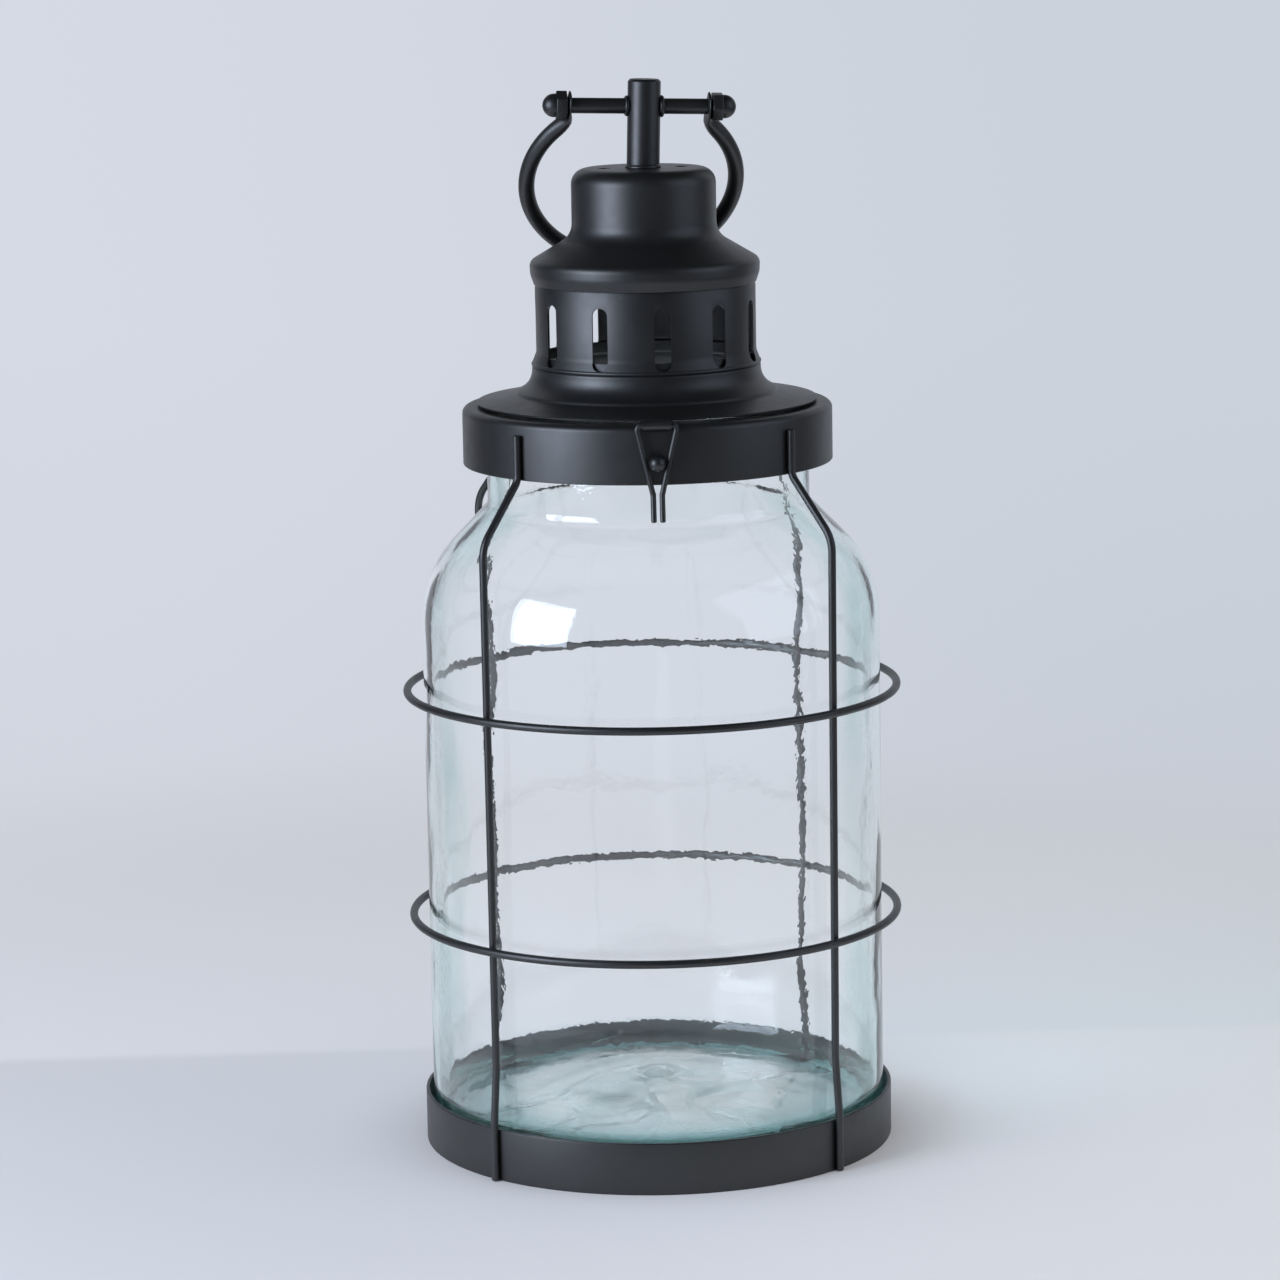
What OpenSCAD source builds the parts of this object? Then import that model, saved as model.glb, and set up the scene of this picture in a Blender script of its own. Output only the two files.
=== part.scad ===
// Candle lantern: a wide-mouth glass jar in a wire cage, with a hinged vented lid,
// a sprung wire latch and a swinging bail handle.
// Millimetres, +Z up. The origin is on the floor under the middle of the jar.
// The latch faces -Y and the lid hinge is at +Y.

/* [Bottom band] */
// Outside diameter of the band round the foot
band_d = 187; // [150:1:220]
// Height of the band
band_h = 20.5; // [14:0.5:32]
// Sheet thickness of the band
band_t = 1.5; // [1:0.1:2.5]
// Width of each tab folded in under the jar
tab_w = 14; // [8:1:24]
// How far each tab reaches in from the band
tab_reach = 20; // [14:1:30]
// Sheet thickness of the tabs
tab_t = 1.2; // [0.8:0.1:2]

/* [Wires] */
// Diameter of the four upright wires
upright_d = 3; // [2:0.1:4]
// Diameter of the two hoop wires
hoop_d = 3.2; // [2:0.1:4.5]
// Height of the lower hoop's centre
hoop_low_z = 92; // [60:1:120]
// Height of the upper hoop's centre
hoop_high_z = 182.5; // [150:1:205]
// Height at which the uprights turn in over the shoulder
bend_z = 249.5; // [240:0.5:256]
// Radius of the uprights' lower bend
bend_r = 14; // [6:1:20]
// Radius of the uprights' bend under the collar
top_bend_r = 6; // [4:0.5:9]
// Length of upright welded to the collar
upright_lap = 17.5; // [10:0.5:20]
// Gap between the jar and the uprights where they come in just above the band
waist_gap = 1.3; // [0.6:0.1:2.4]
// Gap between the jar and the uprights under their shoulder bend
chest_gap = 2.2; // [1:0.1:4]
// Height at which the uprights come in to the waist
waist_z = 45; // [34:1:60]
// Gap that weld and paint fill between a wire and what it is welded to
weld_gap = 0.05; // [0.02:0.01:0.1]
// Extra diameter that bending leaves in a wire at its bends
bend_swell = 0.04; // [0.02:0.01:0.2]

/* [Collar] */
// Outside diameter of the collar
collar_d = 145.4; // [135:0.5:152]
// Height of the collar's lower edge
collar_z = 272.6; // [268:0.2:278]
// Height of the collar
collar_h = 22.6; // [21:0.2:28]
// Sheet thickness of the collar
collar_t = 1.4; // [1:0.1:2]
// Radius of the collar's rounded top edge
collar_edge_r = 2.6; // [2.2:0.1:4]
// Diameter of the mouth in the collar's top
mouth_d = 119; // [105:1:122]

/* [Glass jar] */
// Gap between the jar and the band round it
jar_gap = 1.5; // [0.8:0.1:4]
// Thickness of the jar's wall
wall_t = 3.6; // [2.5:0.1:5]
// Height where the lines of the wall and the shoulder meet
shoulder_z = 228.7; // [222:0.1:232]
// Outside radius of the shoulder's upper bend
shoulder_r = 46; // [30:1:54]
// Slope of the shoulder up to the neck, from level
shoulder_slope = 46; // [42:1:52]
// Radius of the curve between the shoulder and the neck
neck_fillet_r = 5; // [3:0.5:8]
// Gap between the jar's neck and the collar's wall
neck_gap = 7.9; // [6:0.1:10]
// Gap between the jar's lip and the collar's top
lip_gap = 1; // [0.5:0.1:2]
// Outside radius of the heel, where the wall meets the bottom
heel_r = 9; // [6:0.5:14]
// Thickness of the glass bottom
bottom_t = 9; // [6:0.5:12]
// Height of the kick-up under the middle of the bottom
kick_h = 9; // [4:0.5:12]

/* [Lid base] */
// Diameter of the brim
brim_d = 133.6; // [126:0.2:140]
// Diameter of the step where the flare meets the brim
step_d = 103; // [96:0.5:110]
// Height of that step
step_h = 1.1; // [0.5:0.1:2]
// Rise of the brim from its edge to the step
brim_rise = 2.9; // [1:0.1:4]
// Height from the brim's underside to the seam with the drum
base_h = 14.8; // [12:0.2:18]
// Radius of the hollow flare under the drum
flare_r = 8.5; // [5:0.5:9]
// Slope of the flare's lower end, from level
flare_slope = 26; // [15:1:35]
// Radius of the bead's rounded edge at the seam
bead_edge_r = 1.1; // [0.6:0.1:1.6]
// Sheet thickness of the three spun pieces of the lid
lid_t = 0.8; // [0.6:0.1:1.2]
// Clearance where one spun piece fits in another
nest_gap = 0.05; // [0.02:0.01:0.2]
// Length by which the spun pieces go into each other
nest_l = 4.2; // [2:0.2:6]

/* [Vent drum] */
// Outside diameter of the drum
drum_d = 86.4; // [82:0.2:90]
// Height of drum that shows between its two seams
drum_h = 31.6; // [29:0.2:40]
// Outward flare of the drum's lower edge
drum_flare = 1.5; // [0.8:0.1:2.5]
// Height of that flare
drum_flare_h = 5; // [3:0.2:7]
// Number of vent slots
slot_count = 12; // [6:1:14]
// Width of a slot
slot_w = 6.5; // [4:0.1:9]
// Height of a slot
slot_h = 24.3; // [14:0.1:26]
// Height of the slots' lower ends above the lower seam
slot_lift = 1.2; // [0.5:0.1:3]
// How far the slots are spread towards the two sides, in degrees
slot_spread = 5; // [0:0.1:6]
// How far the slots have crept round by the back, in degrees
slot_drift = 6; // [0:0.1:8]
// Turn of the drum and crown against the latch, in degrees
top_turn = 6; // [-15:0.5:15]

/* [Crown] */
// How far the crown's skirt stands out from the drum at its lower edge
skirt_proud = 0.3; // [0.2:0.1:1]
// Outward swell of the skirt above that
skirt_swell = 1.6; // [0.6:0.1:2.5]
// Height of the skirt from its seam to the shoulder's edge
skirt_h = 9; // [6:0.2:12]
// Rise of the sloping shoulder from its edge to the neck
crown_slope_h = 10; // [6:0.2:14]
// Radius of the hollow curve between neck and shoulder
crown_fillet_r = 8; // [4:0.5:12]
// Outside diameter of the crown's neck
crown_d = 56.6; // [50:0.2:60]
// Height of the crown's top above its shoulder's edge
crown_h = 35.8; // [30:0.2:42]
// Radius of the crown's rounded top edge
crown_edge_r = 6; // [3:0.5:8]
// Diameter of the two vent holes in the top
vent_d = 5; // [3:0.1:6]
// Distance of each vent hole from the middle
vent_off = 15.2; // [12:0.1:17]

/* [Handle] */
// Diameter of the post
post_d = 12.9; // [11:0.1:16]
// Height of the post above the crown
post_h = 34.3; // [28:0.1:42]
// Lean of the post and all it carries, to the right of the latch, in degrees
post_lean = 1.8; // [0:0.1:3]
// Turn of the crossbar against the latch, in degrees
bar_turn = 4; // [-15:0.5:15]
// How far the crossbar's middle lies from the post's, to the right of the latch
bar_shift = -1.8; // [-3:0.1:3]
// Bevel round the post's top
post_bevel = 0.9; // [0.3:0.1:2]
// Width of the weld round the post's foot
foot_w = 0.7; // [0.3:0.1:1.5]
// Diameter of the crossbar
bar_d = 6.1; // [5:0.1:7]
// Distance from the post's top down to the crossbar's middle
bar_drop = 10.5; // [6:0.1:13]
// Distance from the middle to the inner face of each ear
ear_in = 26.4; // [22:0.1:30]
// Thickness of the bail's flattened ears
ear_t = 1.7; // [1.2:0.1:2.5]
// Width of the ears
ear_w = 11.6; // [10:0.1:14]
// Length of flat ear below the crossbar
ear_l = 6.5; // [5:0.1:9]
// Diameter of the bail's rod
bail_d = 6.5; // [5:0.1:8]
// Radius of the bail's ring, to the middle of the rod
bail_r = 41.55; // [40:0.05:46]
// Distance from the crossbar down to the middle of the ring
bail_drop = 39; // [38.5:0.1:44]
// Running clearance round the crossbar in each ear
ear_fit = 0.08; // [0.02:0.01:0.1]
// Gap left between the resting bail and the crown's skirt
bail_rest_gap = 0.4; // [0.3:0.05:1]
// Gap between an ear and the acorn nut outside it
nut_gap = 0.3; // [0.2:0.05:0.6]
// Width of the acorn nuts across their flats
nut_af = 10; // [9:0.1:12]
// Length of the nuts' hexagon
nut_hex_h = 3.4; // [2.5:0.1:5]
// Diameter of the nuts' dome
nut_dome_d = 9.4; // [8:0.1:10]
// Overall length of a nut
nut_h = 9; // [8:0.1:12]

/* [Latch] */
// Thickness of the strip under the brim that the latch and hinge are made of
strip_t = 0.9; // [0.7:0.1:1.2]
// Gap between a strip and the collar's top
strip_gap = 0.1; // [0.05:0.05:0.3]
// Length of the latch barrel
barrel_l = 10.8; // [8:0.2:14]
// Diameter of the latch wire
latch_d = 2.2; // [1.6:0.1:2.6]
// Clearance round the latch wire in its barrel
latch_fit = 0.1; // [0.05:0.01:0.2]
// Wall of the rolled latch barrel
barrel_t = 0.7; // [0.5:0.1:1.2]
// Gap between a rolled barrel and the collar
barrel_gap = 0.4; // [0.3:0.1:1]
// Half width of the latch wire where it leaves the barrel
latch_half = 7.9; // [7.6:0.1:10]
// Half the spacing of the latch wire's two tails
tail_half = 1.7; // [1.6:0.1:2.4]
// Drop from the barrel to where the tails start
latch_drop = 26.6; // [24:0.2:30]
// Length of the tails
tail_l = 9.2; // [8:0.2:14]
// Outward lean of the tails, in degrees
tail_lean = 14; // [0:1:25]
// Diameter of the ball that the wire snaps over
ball_d = 6.3; // [5:0.1:6.6]
// Drop from the barrel to the ball's centre
ball_drop = 14.4; // [13:0.1:16]
// Gap between the collar and the ball
ball_gap = 0.5; // [0.2:0.1:1]
// Diameter of the ball's stem
stem_d = 3.2; // [2:0.1:4]

/* [Hinge] */
// Diameter of the hinge pin
pin_d = 2.6; // [2:0.1:3.5]
// Running clearance round the pin
pin_fit = 0.06; // [0.02:0.01:0.1]
// Wall of the rolled knuckles
knuckle_t = 0.9; // [0.7:0.1:1.2]
// Length of the lid's middle knuckle
mid_knuckle_l = 12; // [8:0.5:16]
// Length of each of the collar's outer knuckles
side_knuckle_l = 7; // [5:0.5:10]
// Gap between neighbouring knuckles
knuckle_gap = 0.3; // [0.2:0.05:0.6]
// Height of the leaf on the collar
leaf_h = 14; // [8:0.5:16]
// Length of strip under the brim, from the brim's edge inwards
strip_reach = 9; // [6:0.5:12]

/* [Hidden] */
$fn = 96;

black = "#2a2b2e";
glass = "#b9cfcb";

// Radii and heights that follow from the sizes above
band_r = band_d / 2;
band_in_r = band_r - band_t;
upright_r = band_r + weld_gap + upright_d / 2;
hoop_off = upright_d / 2 + weld_gap + hoop_d / 2;
collar_r = collar_d / 2;
collar_in_r = collar_r - collar_t;
collar_top = collar_z + collar_h;
collar_wire_r = collar_r + weld_gap + upright_d / 2;
jar_r = band_in_r - jar_gap;
waist_r = jar_r + waist_gap + upright_d / 2;
chest_r = jar_r + chest_gap + upright_d / 2;
neck_r = collar_in_r - neck_gap;
lip_z = collar_top - collar_t - lip_gap;
brim_z = collar_top + strip_gap + strip_t;
seam_z = brim_z + base_h;
drum_r = drum_d / 2;
skirt_z = seam_z + drum_h;
skirt_r = drum_r + skirt_proud;
edge_z = skirt_z + skirt_h;
crown_top = edge_z + crown_h;
bar_h = post_h - bar_drop;
ear_out = ear_in + ear_t;
bail_lean = asin((skirt_r + skirt_swell + bail_d / 2 + bail_rest_gap) / (bail_drop + bail_r));
strip_z = collar_top + strip_gap;
axis_z = strip_z + strip_t / 2;
barrel_r = latch_d / 2 + latch_fit + barrel_t;
// The rolled barrels clear the collar and the brim, whichever stands out further
barrel_in = max(collar_r, brim_d / 2) + barrel_gap;
barrel_y = barrel_in + barrel_r;
knuckle_r = pin_d / 2 + pin_fit + knuckle_t;
hinge_y = barrel_in + knuckle_r;

// --- Plane geometry ---------------------------------------------------------

function unit(v) = v / norm(v);

// Points of an arc of radius r that rounds the corner b between a and c
function corner_arc(a, b, c, r, n) =
  let (
    u = unit(a - b),
    v = unit(c - b),
    half = acos(u * v) / 2,
    centre = b + unit(u + v) * r / sin(half),
    p0 = b + u * r / tan(half),
    p1 = b + v * r / tan(half),
    a0 = atan2(p0[1] - centre[1], p0[0] - centre[0]),
    a1 = atan2(p1[1] - centre[1], p1[0] - centre[0]),
    sweep = (a1 - a0 + 540) % 360 - 180
  )
  [for (i = [0:n]) centre + r * [cos(a0 + sweep * i / n), sin(a0 + sweep * i / n)]];

function xy(p) = [p[0], p[1]];

// A path of corners [x, y, rounding radius] as plain points
function rounded(path, n = 8) =
  [
    for (i = [0:len(path) - 1])
      each (
        i == 0 || i == len(path) - 1 || path[i][2] == 0
        ? [xy(path[i])]
        : corner_arc(xy(path[i - 1]), xy(path[i]), xy(path[i + 1]), path[i][2], n)
      )
  ];

// Left-hand offset of point i of a path, lengthened at corners to keep the thickness
function beside(p, i) =
  let (
    u = unit(i > 0 ? p[i] - p[i - 1] : p[1] - p[0]),
    v = unit(i < len(p) - 1 ? p[i + 1] - p[i] : p[i] - p[i - 1]),
    m = unit(u + v)
  )
  [-m[1], m[0]] / (m * u);

// Outline of a sheet of thickness t on the left of a path
function sheet(p, t) =
  concat(p, [for (i = [len(p) - 1:-1:0]) p[i] + t * beside(p, i)]);

// --- Wires ------------------------------------------------------------------

module straight_wire(a, b, d) {
  run = b - a;
  translate([a[0], a[1], 0])
    rotate([0, 0, atan2(run[1], run[0])])
      rotate([0, 90, 0])
        cylinder(d = d, h = norm(run));
}

module wire_bend(a, b, c, r, d) {
  u = unit(a - b);
  v = unit(c - b);
  half = acos(u * v) / 2;
  centre = b + unit(u + v) * r / sin(half);
  p0 = b + u * r / tan(half) - centre;
  p1 = b + v * r / tan(half) - centre;
  a0 = atan2(p0[1], p0[0]);
  turn = (atan2(p1[1], p1[0]) - a0 + 540) % 360 - 180;
  translate([centre[0], centre[1], 0])
    rotate([0, 0, turn > 0 ? a0 : a0 + turn])
      rotate_extrude(angle = abs(turn))
        translate([r, 0])
          circle(d = d + bend_swell);
}

// How much of a straight run a bend at corner i takes up
function bend_cut(path, i) =
  i <= 0 || i >= len(path) - 1
  ? 0
  : path[i][2] / tan(acos(unit(xy(path[i - 1]) - xy(path[i])) * unit(xy(path[i + 1]) - xy(path[i]))) / 2);

// A round wire bent in the XY plane through corners [x, y, bend radius].
// Each straight run goes a little way into the bends at its ends.
module bent_wire(path, d) {
  last = len(path) - 1;
  into = 0.2;
  for (i = [0:last - 1]) {
    along = unit(xy(path[i + 1]) - xy(path[i]));
    from = xy(path[i]) + along * (i == 0 ? 0 : bend_cut(path, i) - into);
    to = xy(path[i + 1]) - along * (i + 1 == last ? 0 : bend_cut(path, i + 1) - into);
    straight_wire(from, to, d);
  }
  for (i = [1:last - 1])
    wire_bend(xy(path[i - 1]), xy(path[i]), xy(path[i + 1]), path[i][2], d);
}

// --- Cage -------------------------------------------------------------------

module bottom_band() {
  edge = band_t / 3;
  color(black)
    rotate_extrude()
      polygon([
        [band_in_r, edge], [band_in_r + edge, 0], [band_r - edge, 0], [band_r, edge],
        [band_r, band_h - edge], [band_r - edge, band_h], [band_in_r + edge, band_h],
        [band_in_r, band_h - edge]
      ]);
}

// One folded tab beside each upright, welded inside the band's lower edge
module jar_tabs() {
  color(black)
    for (side = [45:90:315])
      rotate([0, 0, side])
        intersection() {
          translate([band_in_r - tab_reach, -tab_w / 2, 0])
            cube([tab_reach + band_t, tab_w, tab_t]);
          cylinder(r = band_in_r - weld_gap, h = tab_t);
        }
}

module glass_jar() {
  // Outside, from the middle of the underside round the heel and up to the lip
  foot_r = jar_r - heel_r - 6;
  rise = (jar_r - neck_r) * tan(shoulder_slope);
  outer = rounded([
    [0, tab_t + kick_h, 0],
    [foot_r * 0.45, tab_t + kick_h * 0.86, 40],
    [foot_r, tab_t, 3],
    [jar_r, tab_t, heel_r],
    [jar_r, shoulder_z, shoulder_r],
    [neck_r, shoulder_z + rise, neck_fillet_r],
    [neck_r, lip_z, wall_t / 2],
    [neck_r - wall_t / 2, lip_z, 0]
  ], 10);
  inner_r = jar_r - wall_t;
  inner = rounded([
    [neck_r - wall_t / 2, lip_z, 0],
    [neck_r - wall_t, lip_z, wall_t / 2],
    [neck_r - wall_t, shoulder_z + rise - wall_t * 0.42, neck_fillet_r + wall_t],
    [inner_r, shoulder_z - wall_t * 0.42, shoulder_r - wall_t],
    [inner_r, tab_t + bottom_t * 0.75, heel_r],
    [foot_r * 0.45, tab_t + kick_h * 0.86 + bottom_t, 60],
    [0, tab_t + kick_h + bottom_t, 0]
  ], 10);
  color(glass, 0.35)
    rotate_extrude()
      polygon(concat(outer, [for (i = [1:len(inner) - 1]) inner[i]]));
}

// Radius to the middle of an upright at height z between waist and shoulder
function wire_r(z) = waist_r + (chest_r - waist_r) * (z - waist_z) / (bend_z - waist_z);

// One upright, set in above the band and bent in over the jar's shoulder and up the collar's wall
module upright(side) {
  color(black)
    rotate([0, 0, side])
      rotate([90, 0, 0])
        bent_wire([
          [upright_r, 0],
          [upright_r, band_h + 2, 12],
          [waist_r, waist_z, 12],
          [chest_r, bend_z, bend_r],
          [collar_wire_r, collar_z, top_bend_r],
          [collar_wire_r, collar_z + upright_lap]
        ], upright_d);
}

module upright_front_left() { upright(225); }
module upright_front_right() { upright(315); }
module upright_back_left() { upright(135); }
module upright_back_right() { upright(45); }

module hoop(z) {
  color(black)
    translate([0, 0, z])
      rotate_extrude()
        translate([wire_r(z) + hoop_off, 0])
          circle(d = hoop_d);
}

module hoop_lower() { hoop(hoop_low_z); }
module hoop_upper() { hoop(hoop_high_z); }

// Wall and turned-in top of the collar, with the hole for the ball's stem
module collar() {
  path = rounded([
    [collar_r, collar_z],
    [collar_r, collar_top, collar_edge_r],
    [mouth_d / 2, collar_top]
  ]);
  color(black)
    difference() {
      rotate_extrude()
        polygon(sheet(path, collar_t));
      translate([0, 0, axis_z - ball_drop])
        rotate([90, 0, 0])
          cylinder(d = stem_d + 2 * weld_gap, h = collar_r + 1);
    }
}

// Ball on a stem that is riveted over inside the collar
module ball_stud() {
  ball_y = collar_r + ball_gap + ball_d / 2;
  rivet_t = 0.8;
  color(black)
    translate([0, 0, axis_z - ball_drop])
      rotate([90, 0, 0]) {
        translate([0, 0, ball_y])
          sphere(d = ball_d);
        translate([0, 0, collar_in_r - rivet_t])
          cylinder(d = stem_d, h = ball_y - collar_in_r + rivet_t);
        translate([0, 0, collar_in_r - rivet_t - weld_gap])
          cylinder(d1 = stem_d + 1, d2 = stem_d + 2, h = rivet_t - 0.2);
      }
}

// --- Hinge ------------------------------------------------------------------

module knuckle(x, length) {
  translate([x, hinge_y, axis_z])
    rotate([0, 90, 0])
      cylinder(r = knuckle_r, h = length);
}

module pin_hole(play) {
  reach = mid_knuckle_l + 2 * side_knuckle_l;
  translate([-reach, hinge_y, axis_z])
    rotate([0, 90, 0])
      cylinder(d = pin_d + 2 * play, h = 2 * reach);
}

// Curved leaf welded to the collar, standing out as far as its two outer knuckles need
module hinge_leaf() {
  side_x = mid_knuckle_l / 2 + knuckle_gap;
  half = side_x + side_knuckle_l;
  leaf_r = collar_r + weld_gap;
  leaf_out_r = barrel_in - barrel_gap + weld_gap + strip_t;
  notch = knuckle_r + knuckle_gap;
  color(black)
    difference() {
      union() {
        intersection() {
          difference() {
            cylinder(r = leaf_out_r, h = axis_z);
            translate([0, 0, -1])
              cylinder(r = leaf_r, h = axis_z + 2);
          }
          translate([-half, 0, axis_z - leaf_h])
            cube([2 * half, collar_d, leaf_h]);
        }
        knuckle(side_x, side_knuckle_l);
        knuckle(-half, side_knuckle_l);
      }
      translate([-side_x, 0, axis_z - notch])
        cube([2 * side_x, collar_d, 2 * notch]);
      cylinder(r = leaf_r, h = collar_top);
      pin_hole(pin_fit);
    }
}

// Pin with a low head at each end
module hinge_pin() {
  half = mid_knuckle_l / 2 + knuckle_gap + side_knuckle_l + weld_gap;
  head_t = 0.8;
  color(black)
    translate([-half - head_t, hinge_y, axis_z])
      rotate([0, 90, 0]) {
        cylinder(d = pin_d, h = 2 * (half + head_t));
        cylinder(d1 = pin_d, d2 = pin_d + 1.4, h = head_t);
        translate([0, 0, 2 * half + head_t])
          cylinder(d1 = pin_d + 1.4, d2 = pin_d, h = head_t);
      }
}

// Strip under the brim from the middle knuckle, on the lid's side of the hinge
module hinge_strap() {
  color(black)
    difference() {
      union() {
        translate([-mid_knuckle_l / 2, brim_d / 2 - strip_reach, strip_z])
          cube([mid_knuckle_l, hinge_y - brim_d / 2 + strip_reach, strip_t]);
        knuckle(-mid_knuckle_l / 2, mid_knuckle_l);
      }
      pin_hole(pin_fit);
    }
}

// --- Lid --------------------------------------------------------------------

// Brim, step, hollow flare, bead and the neck that the drum fits over
module lid_base() {
  step_z = brim_z + lid_t + brim_rise;
  bead_r = drum_r + drum_flare + 0.2;
  neck = drum_r - lid_t - nest_gap;
  ledge_z = seam_z - nest_gap;
  flare_z = step_z + step_h + (step_d / 2 - bead_r) * tan(flare_slope);
  // The hollow ends below the bead's edge
  hollow_r = min(flare_r, (ledge_z - bead_edge_r - 0.1 - flare_z) * tan(45 + flare_slope / 2));
  path = rounded([
    [brim_d / 2, brim_z + lid_t],
    [step_d / 2, step_z, 0.5],
    [step_d / 2 - 0.7, step_z + step_h, 1],
    [bead_r, flare_z, hollow_r],
    [bead_r, ledge_z, bead_edge_r],
    [neck, ledge_z, 0.3],
    [neck, seam_z + nest_l]
  ]);
  color(black)
    rotate_extrude()
      polygon(sheet(path, lid_t));
}

// Where slot i lies round the drum: hand-indexed, so the spacing wanders
function slot_angle(i) =
  let (a = i * 360 / slot_count)
  a + slot_spread * sin(a) - slot_drift * (1 - cos(a)) / 2;

// A bar with round ends, as long as the slot is high, pushed out through the drum's wall
module slot() {
  r = slot_w / 2;
  z0 = seam_z + slot_lift + r;
  z1 = z0 + slot_h - slot_w;
  ends = [for (i = [0:16]) [r * cos(i * 180 / 16), r * sin(i * 180 / 16)]];
  rotate([90, 0, 0])
    linear_extrude(drum_r + drum_flare + 2)
      polygon(concat([for (p = ends) [p[0], z1 + p[1]]], [for (p = ends) [-p[0], z0 - p[1]]]));
}

// Drum with a flared foot over the base's neck and a stepped-in top in the crown
module vent_drum() {
  top_r = skirt_r - lid_t - nest_gap;
  path = rounded([
    [drum_r + drum_flare, seam_z],
    [drum_r + drum_flare, seam_z + 1, 2],
    [drum_r, seam_z + drum_flare_h, 6],
    [drum_r, skirt_z - 1, 0],
    [top_r, skirt_z, 0],
    [top_r, skirt_z + nest_l]
  ]);
  color(black)
    difference() {
      rotate_extrude()
        polygon(sheet(path, lid_t));
      for (i = [0:slot_count - 1])
        rotate([0, 0, top_turn + slot_angle(i)])
          slot();
    }
}

// Skirt over the drum, sloping shoulder, neck and flat top
module crown() {
  edge_r = skirt_r + skirt_swell;
  path = rounded([
    [skirt_r, skirt_z],
    [edge_r - 0.2, skirt_z + skirt_h * 0.45, 7],
    [edge_r, edge_z, 1.3],
    [crown_d / 2, edge_z + crown_slope_h, crown_fillet_r],
    [crown_d / 2, crown_top, crown_edge_r],
    [0, crown_top]
  ]);
  color(black)
    difference() {
      rotate_extrude()
        polygon(sheet(path, lid_t));
      for (side = [-1, 1])
        rotate([0, 0, top_turn])
          translate([side * vent_off, 0, crown_top - 2 * lid_t])
            cylinder(d = vent_d, h = 4 * lid_t);
    }
}

// --- Handle -----------------------------------------------------------------

// Leans what stands on the crown about the foot of the post
module on_post() {
  translate([0, 0, crown_top])
    rotate([0, post_lean, 0])
      children();
}

// The handle's own frame: X along the crossbar, origin at the crossbar's middle
module on_bar() {
  on_post()
    translate([0, 0, bar_h])
      rotate([0, 0, bar_turn])
        translate([bar_shift, 0, 0])
          children();
}

module lid_post() {
  r = post_d / 2;
  foot_z = crown_top + weld_gap;
  color(black)
    difference() {
      union() {
        on_post()
          translate([0, 0, -1])
            rotate_extrude()
              polygon([
                [0, 0], [r, 0], [r, post_h - post_bevel + 1], [r - post_bevel, post_h + 1],
                [0, post_h + 1]
              ]);
        translate([0, 0, foot_z])
          rotate_extrude()
            polygon([
              [0, 0], [r + foot_w, 0], [r + foot_w * 0.6, foot_w], [r - 0.6, foot_w * 2.4], [0, foot_w * 2.4]
            ]);
      }
      translate([-post_d, -post_d, crown_top - 3])
        cube([2 * post_d, 2 * post_d, 3 + weld_gap]);
      on_bar()
        rotate([0, 90, 0])
          cylinder(d = bar_d + 2 * weld_gap, h = 3 * post_d, center = true);
    }
}

module crossbar() {
  half = ear_out + nut_gap + nut_hex_h;
  color(black)
    on_bar()
      rotate([0, 90, 0])
        cylinder(d = bar_d, h = 2 * half, center = true);
}

// Hexagon with a chamfered dome, on the crossbar's end
module acorn_nut() {
  hex_r = nut_af / 2 / cos(30);
  dome_r = nut_dome_d / 2;
  barrel_h = nut_h - dome_r;
  difference() {
    union() {
      intersection() {
        cylinder(r = hex_r, h = nut_hex_h, $fn = 6);
        cylinder(r1 = hex_r, r2 = hex_r - 0.6, h = nut_hex_h);
        cylinder(r1 = hex_r - 0.4, r2 = hex_r + 0.9, h = nut_hex_h);
      }
      cylinder(r = dome_r, h = barrel_h);
      translate([0, 0, barrel_h])
        sphere(r = dome_r);
    }
    translate([0, 0, -dome_r])
      cylinder(r = dome_r + 1, h = dome_r);
    translate([0, 0, -1])
      cylinder(d = bar_d + 2 * weld_gap, h = nut_hex_h + 1.2);
  }
}

module acorn_nuts() {
  color(black)
    on_bar()
      for (side = [0, 180])
        rotate([0, 0, side])
          translate([ear_out + nut_gap, 0, 0])
            rotate([0, 90, 0])
              acorn_nut();
}

// Point of the bail's ring, at angle a from its top
function ring_at(a) = [bail_r * sin(a), 0, bail_r * cos(a) - bail_drop];

// One flattened ear, and the taper from it to the round rod
module bail_ear(arc_a) {
  half = ear_w / 2;
  translate([ear_in, 0, 0])
    rotate([0, 90, 0])
      cylinder(r = half, h = ear_t);
  translate([ear_in, -half, -ear_l])
    cube([ear_t, ear_w, ear_l]);
  hull() {
    translate([ear_in, -half, -ear_l])
      cube([ear_t, ear_w, 0.4]);
    translate(ring_at(arc_a + 3))
      rotate([0, arc_a + 93, 0])
        cylinder(d = bail_d - 0.2, h = 0.4, $fn = 32);
  }
}

module bail() {
  arc_a = asin((ear_in + ear_t / 2 + 1.2) / bail_r);
  color(black)
    on_bar()
      rotate([bail_lean, 0, 0])
        difference() {
          union() {
            translate([0, 0, -bail_drop])
              rotate([90, 0, 0])
                rotate([0, 0, 90 + arc_a])
                  rotate_extrude(angle = 360 - 2 * arc_a)
                    translate([bail_r, 0])
                      circle(d = bail_d);
            bail_ear(arc_a);
            mirror([1, 0, 0])
              bail_ear(arc_a);
          }
          rotate([0, 90, 0])
            cylinder(d = bar_d + 2 * ear_fit, h = 4 * ear_in, center = true);
        }
}

// --- Latch ------------------------------------------------------------------

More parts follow.
